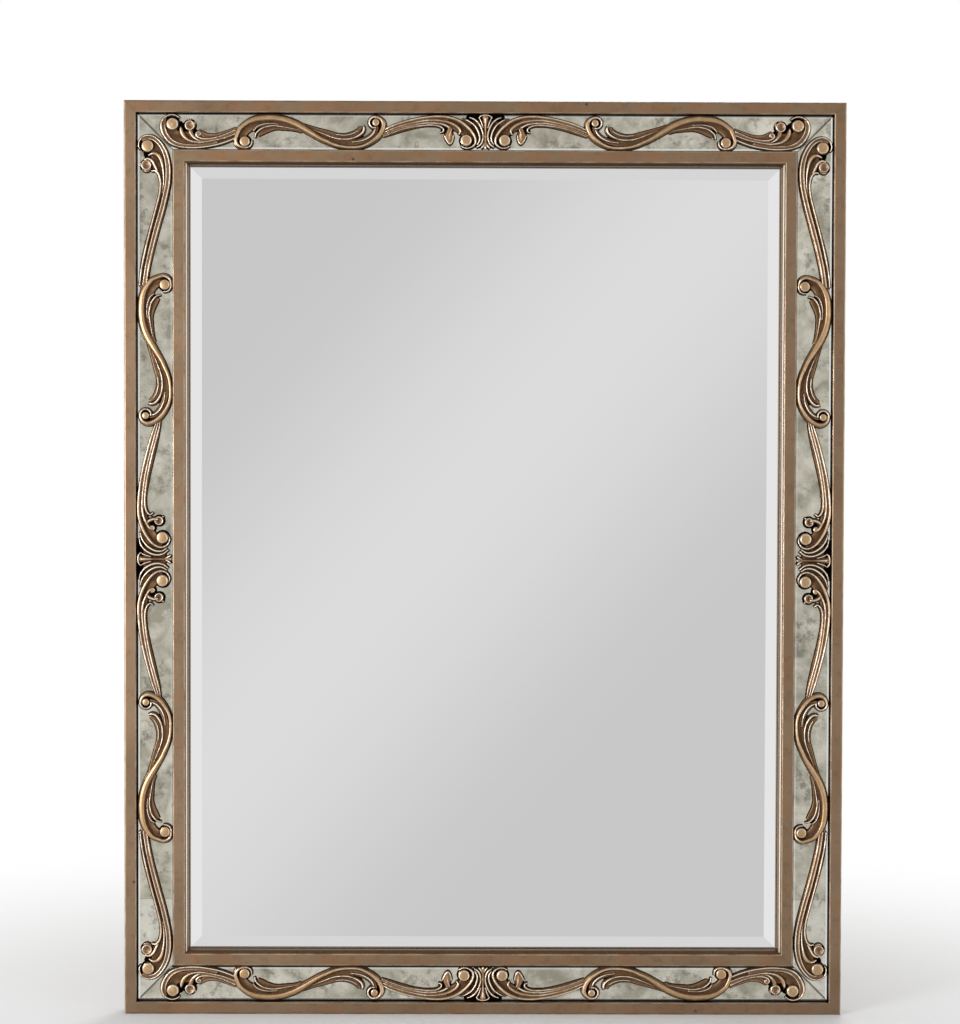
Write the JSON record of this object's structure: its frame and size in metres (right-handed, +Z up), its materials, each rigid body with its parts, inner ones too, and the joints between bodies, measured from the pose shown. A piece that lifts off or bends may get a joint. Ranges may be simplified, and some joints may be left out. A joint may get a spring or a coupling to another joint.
{
  "type": "dresser mirror",
  "caption": "Rectangular bevelled dresser mirror in a deep gilt frame; its channel holds antiqued mirror strips under scroll carvings, and hinged D-ring hangers are behind.",
  "frame": {"origin": "middle of the underside of the bottom rail, at half the rail's depth, where the mirror stands on a dresser top", "axes": "+Z up, +X to the viewer's right along the width, the glass faces -Y and the back faces +Y"},
  "size_m": [0.99, 0.035, 1.257],
  "materials": {
    "frame_paint": "champagne-gold paint over wood, satin, with dark glaze in the quirks, rubbed edges and dark specks",
    "carving_gold": "cast resin in antique gold leaf paint, dark brown glaze in the hollows, worn bright on the ridges",
    "antiqued_glass": "mirror glass antiqued to a cloudy grey-green with soft mottling",
    "silvered_glass": "clear silvered mirror with a ground and polished bevel",
    "fibreboard": "raw medium-density fibreboard",
    "hardboard": "raw hardboard",
    "pine": "raw planed pine",
    "foam": "white closed-cell foam sheet",
    "zinc_steel": "bright zinc plate"
  },
  "bodies": {
    "frame": {"antique_strip_bottom": "antiqued_glass", "antique_strip_left_lower": "antiqued_glass", "antique_strip_left_upper": "antiqued_glass", "antique_strip_right_lower": "antiqued_glass", "antique_strip_right_upper": "antiqued_glass", "antique_strip_top": "antiqued_glass", "back_panel": "hardboard", "centre_carving_bottom": "carving_gold", "centre_carving_left": "carving_gold", "centre_carving_right": "carving_gold", "centre_carving_top": "carving_gold", "channel_board_bottom": "fibreboard", "channel_board_left": "fibreboard", "channel_board_right": "fibreboard", "channel_board_top": "fibreboard", "foam_backing_sheet": "foam", "hanger_screw_left_lower": "zinc_steel", "hanger_screw_left_upper": "zinc_steel", "hanger_screw_right_lower": "zinc_steel", "hanger_screw_right_upper": "zinc_steel", "hanger_strap_left": "zinc_steel", "hanger_strap_right": "zinc_steel", "inner_rail_bottom": "frame_paint", "inner_rail_left": "frame_paint", "inner_rail_right": "frame_paint", "inner_rail_top": "frame_paint", "mirror_glass": "silvered_glass", "outer_rail_bottom": "frame_paint", "outer_rail_left": "frame_paint", "outer_rail_right": "frame_paint", "outer_rail_top": "frame_paint", "panel_screw_bottom_left": "zinc_steel", "panel_screw_bottom_right": "zinc_steel", "panel_screw_left_lower": "zinc_steel", "panel_screw_left_upper": "zinc_steel", "panel_screw_right_lower": "zinc_steel", "panel_screw_right_upper": "zinc_steel", "panel_screw_top_left": "zinc_steel", "panel_screw_top_right": "zinc_steel", "post_block_left": "pine", "post_block_right": "pine", "scroll_bottom_left": "carving_gold", "scroll_bottom_right": "carving_gold", "scroll_left_lower": "carving_gold", "scroll_left_upper": "carving_gold", "scroll_right_lower": "carving_gold", "scroll_right_upper": "carving_gold", "scroll_top_left": "carving_gold", "scroll_top_right": "carving_gold", "spray_bottom_left": "carving_gold", "spray_bottom_right": "carving_gold", "spray_left_lower": "carving_gold", "spray_left_upper": "carving_gold", "spray_right_lower": "carving_gold", "spray_right_upper": "carving_gold", "spray_top_left": "carving_gold", "spray_top_right": "carving_gold"},
    "ring_left": {"hanger_ring_left": "zinc_steel"},
    "ring_right": {"hanger_ring_right": "zinc_steel"}
  },
  "joints": [
    {"name": "ring_swing_left", "type": "hinge", "parent": "frame", "child": "ring_left", "pos_m": [-0.462, 0.0119, 1.01], "axis": [1, 0, 0], "range_deg": [0, 180]},
    {"name": "ring_swing_right", "type": "hinge", "parent": "frame", "child": "ring_right", "pos_m": [0.462, 0.0119, 1.01], "axis": [1, 0, 0], "range_deg": [0, 180]}
  ]
}
